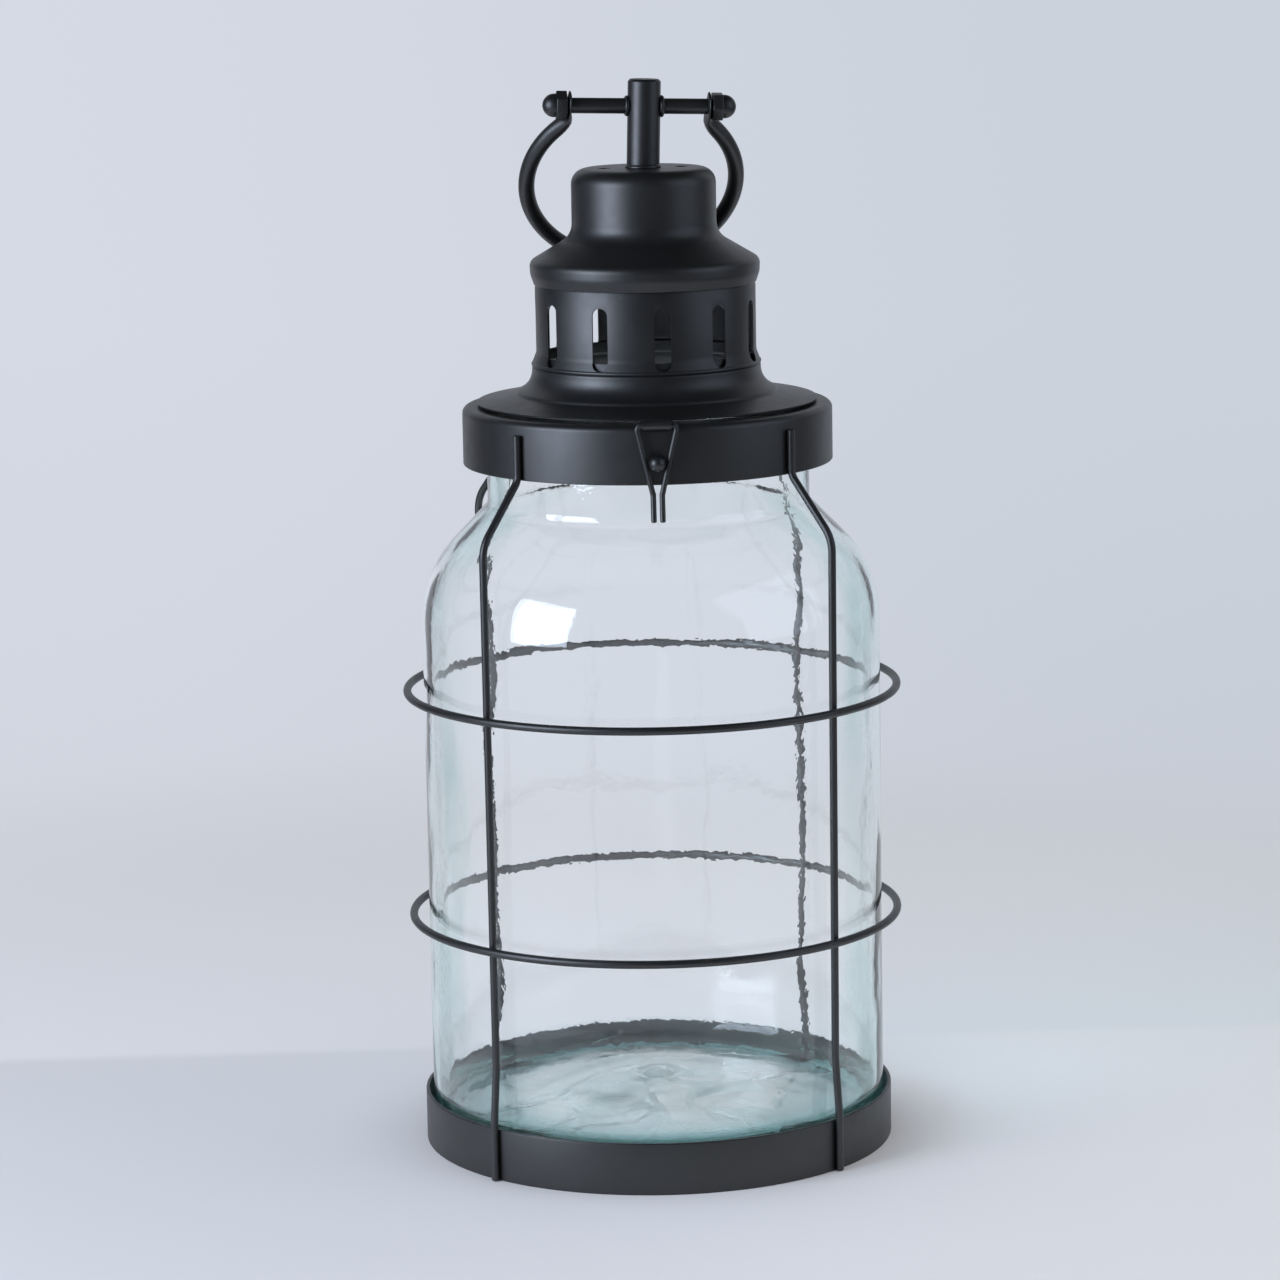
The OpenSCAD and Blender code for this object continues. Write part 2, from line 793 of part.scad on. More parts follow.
// Strip under the brim, rolled round the latch wire's two ends
module latch_tab() {
  color(black)
    difference() {
      union() {
        translate([-barrel_l / 2, -barrel_y, strip_z])
          cube([barrel_l, barrel_y - brim_d / 2 + strip_reach, strip_t]);
        translate([-barrel_l / 2, -barrel_y, axis_z])
          rotate([0, 90, 0])
            cylinder(r = barrel_r, h = barrel_l);
      }
      translate([-barrel_l, -barrel_y, axis_z])
        rotate([0, 90, 0])
          cylinder(d = latch_d + 2 * latch_fit, h = 2 * barrel_l);
    }
}

// Half of the sprung wire: an end in the barrel, a slanting leg and a leaning tail
module latch_half_wire() {
  inside = barrel_l * 0.38;
  bent_wire([
    [barrel_l / 2 - inside, 0],
    [latch_half, 0, latch_d * 0.8],
    [tail_half, -latch_drop]
  ], latch_d);
  translate([tail_half, -latch_drop, 0])
    rotate([90 - tail_lean, 0, 0]) {
      sphere(d = latch_d + bend_swell);
      cylinder(d = latch_d, h = tail_l);
      translate([0, 0, tail_l])
        sphere(d = latch_d - bend_swell);
    }
}

module latch_wire() {
  color(black)
    translate([0, -barrel_y, axis_z])
      rotate([90, 0, 0]) {
        latch_half_wire();
        mirror([1, 0, 0])
          latch_half_wire();
      }
}

bottom_band();
jar_tabs();
glass_jar();
upright_front_left();
upright_front_right();
upright_back_left();
upright_back_right();
hoop_lower();
hoop_upper();
collar();
ball_stud();
hinge_leaf();
hinge_pin();
hinge_strap();
lid_base();
vent_drum();
crown();
lid_post();
crossbar();
acorn_nuts();
latch_tab();
latch_wire();
bail();
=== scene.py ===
"""Candle lantern: turned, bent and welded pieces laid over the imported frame."""
import math

import bmesh
import bpy
from mathutils import Matrix, Vector


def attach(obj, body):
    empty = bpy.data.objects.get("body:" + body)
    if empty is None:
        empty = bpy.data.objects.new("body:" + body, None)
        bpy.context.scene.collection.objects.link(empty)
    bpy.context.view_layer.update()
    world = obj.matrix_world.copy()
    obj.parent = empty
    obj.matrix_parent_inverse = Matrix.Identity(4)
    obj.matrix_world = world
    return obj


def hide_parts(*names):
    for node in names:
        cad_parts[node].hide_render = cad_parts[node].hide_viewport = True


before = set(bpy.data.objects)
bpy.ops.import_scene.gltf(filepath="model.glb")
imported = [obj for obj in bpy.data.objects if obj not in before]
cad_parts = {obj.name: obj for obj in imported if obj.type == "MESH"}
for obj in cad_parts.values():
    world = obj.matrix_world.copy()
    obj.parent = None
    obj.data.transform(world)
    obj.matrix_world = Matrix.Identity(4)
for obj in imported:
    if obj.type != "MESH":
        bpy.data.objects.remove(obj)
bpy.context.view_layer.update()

MM = 0.001

# --- Sizes in millimetres, as in the solids -----------------------------------

BAND_R, BAND_T, BAND_H = 93.5, 1.5, 20.5
WIRE_D, HOOP_D = 3.0, 3.2
# an upright's distance from the axis at the band, the waist, the chest and the collar
FOOT_WIRE_R, WAIST_R, CHEST_R, COLLAR_WIRE_R = 95.05, 93.3, 94.2, 74.25
WAIST_Z, BEND_Z = 45.0, 249.5
HOOPS = {"hoop_lower": 92.0, "hoop_upper": 182.5}
UPRIGHTS = {"upright_front_left": 225, "upright_front_right": 315,
            "upright_back_left": 135, "upright_back_right": 45}
COLLAR_R, COLLAR_T, COLLAR_Z, COLLAR_TOP = 72.7, 1.4, 272.6, 295.2
COLLAR_BORE, BALL_R, BALL_DROP = 59.5, 3.15, 14.4
# the lid upwards: brim, foot of the drum, skirt of the crown, its widest edge and its flat top
BRIM_Z, SEAM_Z, SKIRT_Z, EDGE_Z, CROWN_TOP = 296.2, 311.0, 342.6, 351.6, 387.4
BRIM_R, STEP_R, DRUM_R, SKIRT_R, DOME_R, LID_T = 66.8, 51.5, 43.2, 43.5, 28.3, 0.8
SLOTS, SLOT_W, SLOT_H = 12, 6.5, 24.3
HOLE_R, HOLE_X = 2.5, 15.2
POST_R, POST_H, POST_LEAN = 6.45, 34.3, 1.8
BAR_R, BAR_H, BAR_TURN, BAR_SHIFT = 3.05, 23.8, 4.0, -1.8
TOP_TURN = 6.0
EAR_IN, EAR_T, NUT_GAP = 26.4, 1.7, 0.3
BAIL_R, BAIL_D, BAIL_DROP, BAIL_LEAN = 41.55, 6.5, 39.0, 37.24425
AXIS_Z, BARREL_Y = 295.75, 75.0
LATCH_WIRE_D, LATCH_DROP, TAIL_SIDE = 2.2, 26.6, 1.7


# --- Working by hand ----------------------------------------------------------

def let_go():
    """Nothing selected, object mode."""
    if bpy.context.object and bpy.context.object.mode != "OBJECT":
        bpy.ops.object.mode_set(mode="OBJECT")
    bpy.ops.object.select_all(action="DESELECT")


def take(obj):
    let_go()
    obj.select_set(True)
    bpy.context.view_layer.objects.active = obj


def open_up(obj):
    """Edit mode on points, with all of them picked."""
    take(obj)
    bpy.ops.object.mode_set(mode="EDIT")
    bpy.ops.mesh.select_mode(type="VERT")
    bpy.ops.mesh.select_all(action="SELECT")


def pick_points(obj, where):
    """Picks the points whose place in millimetres passes the test."""
    mesh = bmesh.from_edit_mesh(obj.data)
    for v in mesh.verts:
        v.select = where(v.co / MM)
    mesh.select_flush(True)
    mesh.select_flush(False)
    bmesh.update_edit_mesh(obj.data)


def settle(obj):
    """Place, turn and scale go into the mesh."""
    take(obj)
    bpy.ops.object.transform_apply(location=True, rotation=True, scale=True)


def soften(obj, angle):
    """Smooth but for corners sharper than the angle in degrees."""
    take(obj)
    bpy.ops.object.shade_smooth_by_angle(angle=math.radians(angle))


def tidy(obj, angle=38):
    """Doubles merged, faces outwards, smooth but for sharp corners."""
    open_up(obj)
    bpy.ops.mesh.remove_doubles(threshold=2e-6)
    bpy.ops.mesh.normals_make_consistent(inside=False)
    soften(obj, angle)


def apply_all(obj):
    take(obj)
    for m in [m.name for m in obj.modifiers]:
        bpy.ops.object.modifier_apply(modifier=m)


def join(name, pieces):
    let_go()
    for p in pieces:
        p.select_set(True)
    bpy.context.view_layer.objects.active = pieces[0]
    if len(pieces) > 1:
        bpy.ops.object.join()
    pieces[0].name = name
    return pieces[0]


def belongs(obj, body, slot, finish, *nodes):
    """Puts a finished piece on its body, in place of the solids it shows."""
    obj.data.materials.clear()
    obj.data.materials.append(finish)
    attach(obj, body)
    if nodes:
        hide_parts(*nodes)
    return obj


def placed(obj, matrix):
    """Moves a piece by a matrix in millimetres, and settles it."""
    m = matrix.copy()
    m.translation = m.translation * MM
    obj.matrix_world = m @ obj.matrix_world
    settle(obj)
    return obj


def shift(x, y, z):
    return Matrix.Translation((x, y, z))


def turn_about(axis, degrees):
    return Matrix.Rotation(math.radians(degrees), 4, axis)


def arc_corner(a, b, c, r, n):
    """Points of the arc of radius r that rounds corner b."""
    u, v = (a - b).normalized(), (c - b).normalized()
    half = u.angle(v) / 2
    centre = b + (u + v).normalized() * (r / math.sin(half))
    start = b + u * (r / math.tan(half)) - centre
    turn = math.pi - 2 * half
    axis = (-u).cross(v).normalized()
    return [centre + Matrix.Rotation(turn * i / n, 3, axis) @ start for i in range(n + 1)]


def outline(path, n=8):
    """Corners (r, z) or (r, z, radius) as (r, z) points."""
    points = []
    p = [Vector((q[0], 0, q[1])) for q in path]
    for i, q in enumerate(path):
        if len(q) > 2 and q[2] > 0 and 0 < i < len(path) - 1:
            points += arc_corner(p[i - 1], p[i], p[i + 1], q[2], n)
        else:
            points.append(p[i])
    return [(q.x, q.z) for q in points]


def circle(r, z, radius, n):
    """A closed round outline about (r, z)."""
    angles = [2 * math.pi * i / n for i in range(n + 1)]
    return [(r + radius * math.cos(a), z + radius * math.sin(a)) for a in angles]


def sheet(path, t):
    """Closed outline of a sheet of thickness t on the left of a path, its edges softened."""
    p = [Vector((r, z)) for r, z in path]
    other = []
    for i in range(len(p)):
        u = (p[i] - p[i - 1] if i else p[1] - p[0]).normalized()
        v = (p[i + 1] - p[i] if i < len(p) - 1 else p[i] - p[i - 1]).normalized()
        m = (u + v).normalized()
        other.append(p[i] + Vector((-m.y, m.x)) * (t / m.dot(u)))
    soft = t * 0.22
    along0, across0 = (p[1] - p[0]).normalized() * soft, (other[0] - p[0]).normalized() * soft
    along1, across1 = (p[-2] - p[-1]).normalized() * soft, (other[-1] - p[-1]).normalized() * soft
    ring = [p[0] + along0] + p[1:-1] + [p[-1] + along1, p[-1] + across1]
    ring += [other[-1] - across1, other[-1] + along1] + other[-2:0:-1]
    ring += [other[0] + along0, other[0] - across0, p[0] + across0, p[0] + along0]
    return [(q.x, q.y) for q in ring]


def turned(name, path, steps=192):
    """A shape turned round the upright axis: rings pushed out one after another along an outline.
    An outline end on the axis (r = 0) is drawn together to a point."""
    pinhole = 0.02
    let_go()
    first = path[0] if path[0][0] > 0 else (pinhole, path[0][1])
    bpy.ops.mesh.primitive_circle_add(vertices=steps, radius=first[0] * MM, location=(0, 0, first[1] * MM))
    obj = bpy.context.object
    obj.name = name
    settle(obj)
    open_up(obj)
    r0, z0 = first
    for r, z in path[1:]:
        bpy.ops.mesh.extrude_edges_move(TRANSFORM_OT_translate={"value": (0, 0, (z - z0) * MM)})
        if r <= 0:
            bpy.ops.mesh.merge(type="CENTER")
            break
        bpy.ops.transform.resize(value=(r / r0, r / r0, 1), center_override=(0, 0, z * MM))
        r0, z0 = r, z
    if path[0][0] <= 0:
        pick_points(obj, lambda p: math.hypot(p.x, p.y) < 1.5 * pinhole and abs(p.z - first[1]) < 0.01)
        bpy.ops.mesh.merge(type="CENTER")
    tidy(obj)
    return obj


def rod(name, stations, halves, sides=14, end=0.35):
    """A rod drawn through stations in a plane of one Y; halves are its half thickness and half width.
    Transform operators turn the other way with no window, so the turn is given its sign reversed."""
    n = len(stations)
    along = []
    for i in range(n):
        u = (stations[i] - stations[i - 1]).normalized() if i else (stations[1] - stations[0]).normalized()
        v = (stations[i + 1] - stations[i]).normalized() if i < n - 1 else u
        along.append((u + v).normalized())
    across = Vector((0, 1, 0))
    side = across.cross(along[0]).normalized()
    flat = Matrix((side, across, side.cross(across))).transposed().to_4x4()
    let_go()
    bpy.ops.mesh.primitive_circle_add(vertices=sides, radius=MM)
    obj = bpy.context.object
    obj.name = name
    stretch = Matrix.Diagonal((halves[0][0], halves[0][1], 1, 1))
    obj.matrix_world = Matrix.Translation(stations[0] * MM) @ flat @ stretch
    settle(obj)
    open_up(obj)
    for i in range(1, n):
        here = stations[i] * MM
        ahead = (stations[i] - stations[i - 1]) * MM
        bpy.ops.mesh.extrude_edges_move(TRANSFORM_OT_translate={"value": ahead})
        turn = along[i - 1].angle(along[i])
        if turn > 1e-5:
            hand = 1 if along[i - 1].cross(along[i]).y > 0 else -1
            bpy.ops.transform.rotate(value=-hand * turn, orient_axis="Y", center_override=here)
        thicker, wider = (now / last for now, last in zip(halves[i], halves[i - 1]))
        if abs(thicker - 1) > 1e-6 or abs(wider - 1) > 1e-6:
            # the section is laid level, stretched along X and Y, and stood up again
            side = across.cross(along[i]).normalized()
            lean = math.atan2(-side.z, side.x)
            bpy.ops.transform.rotate(value=lean, orient_axis="Y", center_override=here)
            bpy.ops.transform.resize(value=(thicker, wider, 1), center_override=here)
            bpy.ops.transform.rotate(value=-lean, orient_axis="Y", center_override=here)
    bpy.ops.mesh.edge_face_add()
    bpy.ops.mesh.inset(thickness=end * MM, depth=end * 0.7 * MM)
    pick_points(obj, lambda q: abs((q - stations[0]).dot(along[0])) < 1e-3)
    bpy.ops.mesh.edge_face_add()
    bpy.ops.mesh.inset(thickness=end * MM, depth=end * 0.7 * MM)
    tidy(obj)
    return obj


def wire(name, corners, d, end=0.35):
    """Round wire bent at its corners: (x, y, z, bend radius) in millimetres."""
    p = [Vector(c[:3]) for c in corners]
    stations = [p[0]]
    for i in range(1, len(p) - 1):
        stations += arc_corner(p[i - 1], p[i], p[i + 1], corners[i][3], 8)
    stations.append(p[-1])
    return rod(name, stations, [(d / 2, d / 2)] * len(stations), end=end)


def bar(radius, length, sides=40):
    """A plain round bar, upright and centred, for drilling."""
    let_go()
    bpy.ops.mesh.primitive_cylinder_add(vertices=sides, radius=radius * MM, depth=length * MM)
    return bpy.context.object


def cut(obj, tools):
    """Cuts the joined tools out of a piece."""
    tool = join("cutter", tools)
    m = obj.modifiers.new("cut", "BOOLEAN")
    m.operation, m.solver, m.object = "DIFFERENCE", "EXACT", tool
    apply_all(obj)
    bpy.data.objects.remove(tool)


# On the crown, leaning with the post; the crossbar's own frame; and a piece laid down along it
ON_POST = shift(0, 0, CROWN_TOP) @ turn_about("Y", POST_LEAN)
ON_BAR = ON_POST @ shift(0, 0, BAR_H) @ turn_about("Z", BAR_TURN) @ shift(BAR_SHIFT, 0, 0)
LAY_ALONG_X = turn_about("Y", 90)


# --- Camera -------------------------------------------------------------------

# where the eye stands in metres, which way it looks, its tilt in degrees and its lens
EYE = (-0.08447, -1.83356, 0.5241)
GAZE = (0.04296, 0.98387, -0.17365)
TILT, LENS = -1.0, 132.2


def set_camera():
    let_go()
    bpy.ops.object.camera_add()
    cam = bpy.context.object
    cam.name = "camera"
    forward = Vector(GAZE).normalized()
    right = forward.cross(Vector((0, 0, 1))).normalized()
    up = right.cross(forward)
    roll = math.radians(TILT)
    x = math.cos(roll) * right + math.sin(roll) * up
    y = -math.sin(roll) * right + math.cos(roll) * up
    cam.matrix_world = Matrix.Translation(EYE) @ Matrix((x, y, -forward)).transposed().to_4x4()
    cam.data.lens = LENS
    cam.data.sensor_width = 36
    cam.data.clip_end = 60
    bpy.context.scene.camera = cam


set_camera()


# --- Materials ----------------------------------------------------------------

# a mix node's sockets for its two colours and for the mixed one
ONE, TWO, MIXED = 6, 7, 2
COLOURS = {"data_type": "RGBA"}
SMOOTH = {"interpolation_type": "SMOOTHSTEP"}


def srgb(code):
    """A sRGB hex colour as linear RGBA."""
    parts = [int(code[i:i + 2], 16) / 255 for i in (1, 3, 5)]
    return tuple(c / 12.92 if c <= 0.04045 else ((c + 0.055) / 1.055) ** 2.4 for c in parts) + (1.0,)


def add(tree, kind, settings=None):
    """Adds a node. A setting is a property of it or a socket's value, or what feeds the socket:
    an output of another node, or the node itself for its first output."""
    n = tree.nodes.new(kind)
    for key, value in (settings or {}).items():
        if isinstance(value, bpy.types.Node):
            tree.links.new(value.outputs[0], n.inputs[key])
        elif isinstance(value, bpy.types.NodeSocket):
            tree.links.new(value, n.inputs[key])
        elif isinstance(key, str) and hasattr(n, key):
            setattr(n, key, value)
        else:
            n.inputs[key].default_value = value
    return n


def new_material(name):
    m = bpy.data.materials.new(name)
    m.use_nodes = True
    m.node_tree.nodes.clear()
    return m, m.node_tree


def per_mm(size):
    """Noise scale that gives features of a size in millimetres on metre coordinates."""
    return 1.0 / (size * MM)


def powder_coat(name, peel=1.4, scuff=0.0):
    """Satin black polyester powder coat on steel, sprayed and baked: a dark skin with a soft broad shine,
    fine orange peel, dust nibs and rubbed spots."""
    m, t = new_material(name)
    place = add(t, "ShaderNodeTexCoord").outputs["Object"]
    # cloudy unevenness of the baked film, some 40 mm across
    cloud = add(t, "ShaderNodeTexNoise",
                {"Vector": place, "Scale": per_mm(40), "Detail": 3.0, "Roughness": 0.6})
    tone = add(t, "ShaderNodeValToRGB", {"Fac": cloud})
    for stop, at, shade in zip(tone.color_ramp.elements, (0.3, 0.7), ("#0d0d0e", "#121314")):
        stop.position = at
        stop.color = srgb(shade)
    # nibs and rubbed grains under a millimetre, sparse and gathered in patches some 22 mm across
    nib = add(t, "ShaderNodeTexNoise", {"Vector": place, "Scale": per_mm(0.9), "Detail": 2.0})
    spread = add(t, "ShaderNodeTexNoise", {"Vector": place, "Scale": per_mm(22), "Detail": 2.0})
    both = add(t, "ShaderNodeMath", {"operation": "MULTIPLY", 0: nib, 1: spread})
    few = add(t, "ShaderNodeMapRange",
              {"Value": both, "From Min": 0.44 - scuff * 0.06, "From Max": 0.5, "To Max": 0.5 + scuff})
    rubbed = add(t, "ShaderNodeMix", COLOURS | {0: few, ONE: tone, TWO: srgb("#4a4640")})
    grain = add(t, "ShaderNodeTexNoise", {"Vector": place, "Scale": per_mm(6), "Detail": 3.0})
    rough = add(t, "ShaderNodeMapRange", {"Value": grain, "To Min": 0.38, "To Max": 0.5})
    # orange peel, with the sheet's own shallow dents under it
    skin = add(t, "ShaderNodeTexNoise", {"Vector": place, "Scale": per_mm(peel), "Detail": 1.5})
    bump = add(t, "ShaderNodeBump", {"Height": skin, "Strength": 0.35, "Distance": 0.04 * MM})
    dent = add(t, "ShaderNodeBump", {"Height": cloud, "Normal": bump, "Strength": 0.3, "Distance": 0.4 * MM})
    # the film shines nearly twice as much as its index alone gives
    shader = add(t, "ShaderNodeBsdfPrincipled",
                 {"Base Color": rubbed.outputs[MIXED], "Roughness": rough, "Normal": dent,
                  "IOR": 1.5, "Specular IOR Level": 0.95})
    add(t, "ShaderNodeOutputMaterial", {"Surface": shader})
    return m


def recycled_glass(name):
    """Soda-lime glass of old bottles, blown in a mould: clear with a blue-green body that shows where it
    is seen edge on, a wavy wall, folds in the bottom, and an underside scuffed milky."""
    m, t = new_material(name)
    place = add(t, "ShaderNodeTexCoord").outputs["Object"]
    height = add(t, "ShaderNodeSeparateXYZ", {0: place}).outputs["Z"]
    plan = add(t, "ShaderNodeMapping", {"Vector": place, "Scale": (1.0, 1.0, 0.0)})
    out = add(t, "ShaderNodeVectorMath", {"operation": "LENGTH", 0: plan}).outputs["Value"]
    low = add(t, "ShaderNodeMapRange", SMOOTH | {"Value": height, "From Min": 24 * MM, "From Max": 16 * MM})
    # swells of the wall, some 34 mm across and drawn out upwards, and short ripples of the mould, 5 mm
    tall = add(t, "ShaderNodeMapping", {"Vector": place, "Scale": (1.0, 1.0, 0.5)})
    swell = add(t, "ShaderNodeTexNoise", {"Vector": tall, "Scale": per_mm(34), "Detail": 1.0})
    ripple = add(t, "ShaderNodeTexNoise", {"Vector": place, "Scale": per_mm(5), "Detail": 2.0})
    swelled = add(t, "ShaderNodeBump", {"Height": swell, "Strength": 1.0, "Distance": 1.2 * MM})
    wavy = add(t, "ShaderNodeBump",
               {"Height": ripple, "Normal": swelled, "Strength": 1.0, "Distance": 0.036 * MM})
    # folds in the bottom, left where the gather closed: bent lines between cells some 80 mm across
    bend = add(t, "ShaderNodeVectorMath",
               {"operation": "MULTIPLY_ADD", 0: swell.outputs["Color"], 1: (30 * MM,) * 3, 2: place})
    cells = add(t, "ShaderNodeTexVoronoi",
                {"feature": "DISTANCE_TO_EDGE", "Vector": bend, "Scale": per_mm(80)}).outputs["Distance"]
    line = add(t, "ShaderNodeMapRange", SMOOTH | {"Value": cells, "From Min": 0.035, "From Max": 0.0})
    fold = add(t, "ShaderNodeMath", {"operation": "MULTIPLY", 0: line, 1: low})
    surface = add(t, "ShaderNodeBump",
                  {"Height": fold, "Normal": wavy, "Strength": 1.0, "Distance": 0.45 * MM})
    # the underside, rubbed milky in patches some 26 mm across by every table it stood on
    rubs = add(t, "ShaderNodeTexNoise",
               {"Vector": place, "Scale": per_mm(26), "Detail": 4.0, "Distortion": 1.2})
    rubs = add(t, "ShaderNodeMapRange", {"Value": rubs, "From Min": 0.38, "From Max": 0.58, "To Min": 0.3})
    under = add(t, "ShaderNodeMapRange",
                SMOOTH | {"Value": height, "From Min": 26.2 * MM, "From Max": 25.2 * MM})
    disc = add(t, "ShaderNodeMapRange", SMOOTH | {"Value": out, "From Min": 79 * MM, "From Max": 70 * MM})
    worn = add(t, "ShaderNodeMath", {"operation": "MULTIPLY", 0: under, 1: disc})
    worn = add(t, "ShaderNodeMath", {"operation": "MULTIPLY", 0: worn, 1: rubs})
    rough = add(t, "ShaderNodeMath", {"operation": "MULTIPLY", 0: worn, 1: 0.22})
    passing = add(t, "ShaderNodeMath", {"operation": "MULTIPLY_ADD", 0: worn, 1: -0.36, 2: 1.0})
    # where the eye looks along the wall it sees deep into the glass, unevenly
    rim = add(t, "ShaderNodeLayerWeight", {"Blend": 0.5, "Normal": surface}).outputs["Facing"]
    rim = add(t, "ShaderNodeMapRange", SMOOTH | {"Value": rim, "From Min": 0.4, "From Max": 0.72})
    patchy = add(t, "ShaderNodeMapRange", {"Value": swell, "From Min": 0.4, "From Max": 0.6, "To Min": 0.15})
    deep = add(t, "ShaderNodeMath", {"operation": "MULTIPLY", 0: rim, 1: patchy})
    tint = add(t, "ShaderNodeMix", COLOURS | {0: deep, ONE: srgb("#ffffff"), TWO: srgb("#bfdfdb")})
    tint = add(t, "ShaderNodeMix", COLOURS | {0: worn, ONE: tint.outputs[MIXED], TWO: srgb("#f4efe8")})
    # the thick heel around the bottom, the deepest of all
    heel = add(t, "ShaderNodeMapRange", SMOOTH | {"Value": out, "From Min": 50 * MM, "From Max": 72 * MM})
    heel = add(t, "ShaderNodeMath", {"operation": "MULTIPLY", 0: low, 1: heel})
    tint = add(t, "ShaderNodeMix", COLOURS | {0: heel, ONE: tint.outputs[MIXED], TWO: srgb("#a8cbc7")})
    glass = add(t, "ShaderNodeBsdfPrincipled",
                {"Base Color": tint.outputs[MIXED], "Normal": surface, "Roughness": rough,
                 "Transmission Weight": passing, "IOR": 1.5})
    # a pale shadow, as of clear glass, in place of a black one
    clear = add(t, "ShaderNodeBsdfTransparent", {"Color": srgb("#f2f8f8")})
    shadow = add(t, "ShaderNodeLightPath").outputs["Is Shadow Ray"]
    through = add(t, "ShaderNodeMixShader", {0: shadow, 1: glass, 2: clear})
    body = add(t, "ShaderNodeVolumeAbsorption", {"Color": srgb("#c2e6dd"), "Density": 8.0})
    add(t, "ShaderNodeOutputMaterial", {"Surface": through, "Volume": body})
    return m


COAT = powder_coat("satin_black_powder_coat")
WIRE_COAT = powder_coat("powder_coat_on_wire", peel=1.0, scuff=0.5)
GLASS = recycled_glass("clear_recycled_glass")
BLACK, CLEAR = "black_powder_coat", "clear_glass"


# --- Cage ---------------------------------------------------------------------

def make_band():
    r, t, h, edge = BAND_R, BAND_T, BAND_H, 0.5
    path = [(r, h / 2), (r, h, edge), (r - t, h, edge), (r - t, 0, edge), (r, 0, edge), (r, h / 2)]
    band = turned("bottom_band_sheet", outline(path, 4), 256)
    return belongs(band, "cage", BLACK, COAT, "bottom_band")


def make_hoop(node, z):
    """A hoop laid round the uprights, a hair's breadth outside them."""
    wire_r = WAIST_R + (CHEST_R - WAIST_R) * (z - WAIST_Z) / (BEND_Z - WAIST_Z)
    r = wire_r + WIRE_D / 2 + 0.05 + HOOP_D / 2
    return belongs(turned(node + "_wire", circle(r, z, HOOP_D / 2, 16), 224), "cage", BLACK, WIRE_COAT, node)


def make_upright(node, side):
    """One wire: up the band, in to the waist, up the jar, and over the shoulder to the collar."""
    above_band, up_collar, bend = 2, 17.3, 12
    corners = [(FOOT_WIRE_R, 0, 0.5, 0), (FOOT_WIRE_R, 0, BAND_H + above_band, bend),
               (WAIST_R, 0, WAIST_Z, bend), (CHEST_R, 0, BEND_Z, 14),
               (COLLAR_WIRE_R, 0, COLLAR_Z, 6), (COLLAR_WIRE_R, 0, COLLAR_Z + up_collar, 0)]
    upright = placed(wire(node + "_wire", corners, WIRE_D), turn_about("Z", side))
    return belongs(upright, "cage", BLACK, WIRE_COAT, node)


def make_collar():
    path = outline([(COLLAR_R, COLLAR_Z), (COLLAR_R, COLLAR_TOP, 2.6), (COLLAR_BORE, COLLAR_TOP)])
    collar = turned("collar_pressing", sheet(path, COLLAR_T), 256)
    return belongs(collar, "cage", BLACK, COAT, "collar")


def make_ball():
    """The ball on its stem, turned along the stem and laid out to the front."""
    r, stem = BALL_R, 1.6
    middle = COLLAR_R + 0.5 + r
    path = [(stem, COLLAR_R - COLLAR_T - 0.6), (stem, middle - r * 0.8)]
    angles = [math.radians(32 + 148 * i / 14) for i in range(14)]
    path += [(r * math.sin(a), middle - r * math.cos(a)) for a in angles]
    ball = turned("ball_stud_turned", path + [(0, middle + r)], 40)
    placed(ball, shift(0, 0, AXIS_Z - BALL_DROP) @ turn_about("X", 90))
    return belongs(ball, "cage", BLACK, COAT, "ball_stud")


make_band()
for node, z in HOOPS.items():
    make_hoop(node, z)
for node, side in UPRIGHTS.items():
    make_upright(node, side)
make_collar()
make_ball()


# --- Glass --------------------------------------------------------------------

def make_jar():
    """The jar, thick in the bottom, which is kicked up in the middle; thin in the wall and neck."""
    jar_r, wall, neck_r, lip, lift = 90.5, 3.6, 63.4, 292.8, 1.2
    kick, thick, heel = 9.0, 13.5, 9.0
    shoulder_z, shoulder, throat = 228.7, 46, 5
    neck_z = shoulder_z + (jar_r - neck_r) * math.tan(math.radians(46))
    foot_r = jar_r - heel - 6
    kick_r, kick_z = foot_r * 0.45, lift + kick * 0.86
    lower = wall * 0.42
    outside = [(0, lift + kick), (kick_r, kick_z, 40), (foot_r, lift, 3), (jar_r, lift, heel),
               (jar_r, shoulder_z, shoulder), (neck_r, neck_z, throat), (neck_r, lip, wall / 2)]
    inside = [(neck_r - wall, lip, wall / 2), (neck_r - wall, neck_z - lower, throat + wall),
              (jar_r - wall, shoulder_z - lower, shoulder - wall),
              (jar_r - wall, lift + thick * 0.85, heel), (kick_r, kick_z + thick, 60)]
    # the nub where the iron broke off, in its shallow ring
    top = lift + kick + thick
    nub = [(15, top - 0.3, 3), (11, top + 0.5, 3), (7, top - 0.9, 2), (3.5, top + 1.6, 2), (0, top + 1.8)]
    jar = turned("jar_blown", outline(outside + inside + nub, 16), 224)
    return belongs(jar, "cage", CLEAR, GLASS, "glass_jar")


make_jar()


# --- Lid ----------------------------------------------------------------------

def make_base():
    """Spun from one sheet: the brim, a step, a cone up to a bead, and a neck inside the drum."""
    step_in, step_z = STEP_R - 0.7, BRIM_Z + LID_T + 2.9
    bead, neck, ledge = DRUM_R + 1.7, DRUM_R - 0.85, SEAM_Z - 0.05
    cone_z = step_z + 1.1
    bead_z = cone_z + (STEP_R - bead) * math.tan(math.radians(26))
    path = outline([(BRIM_R, BRIM_Z + LID_T), (STEP_R, step_z, 0.5), (step_in, cone_z, 1),
                    (bead, bead_z, 8.5), (bead, ledge, 1.1), (neck, ledge, 0.3), (neck, SEAM_Z + 4.2)])
    return belongs(turned("lid_base_spun", sheet(path, LID_T), 256), "lid", BLACK, COAT, "lid_base")


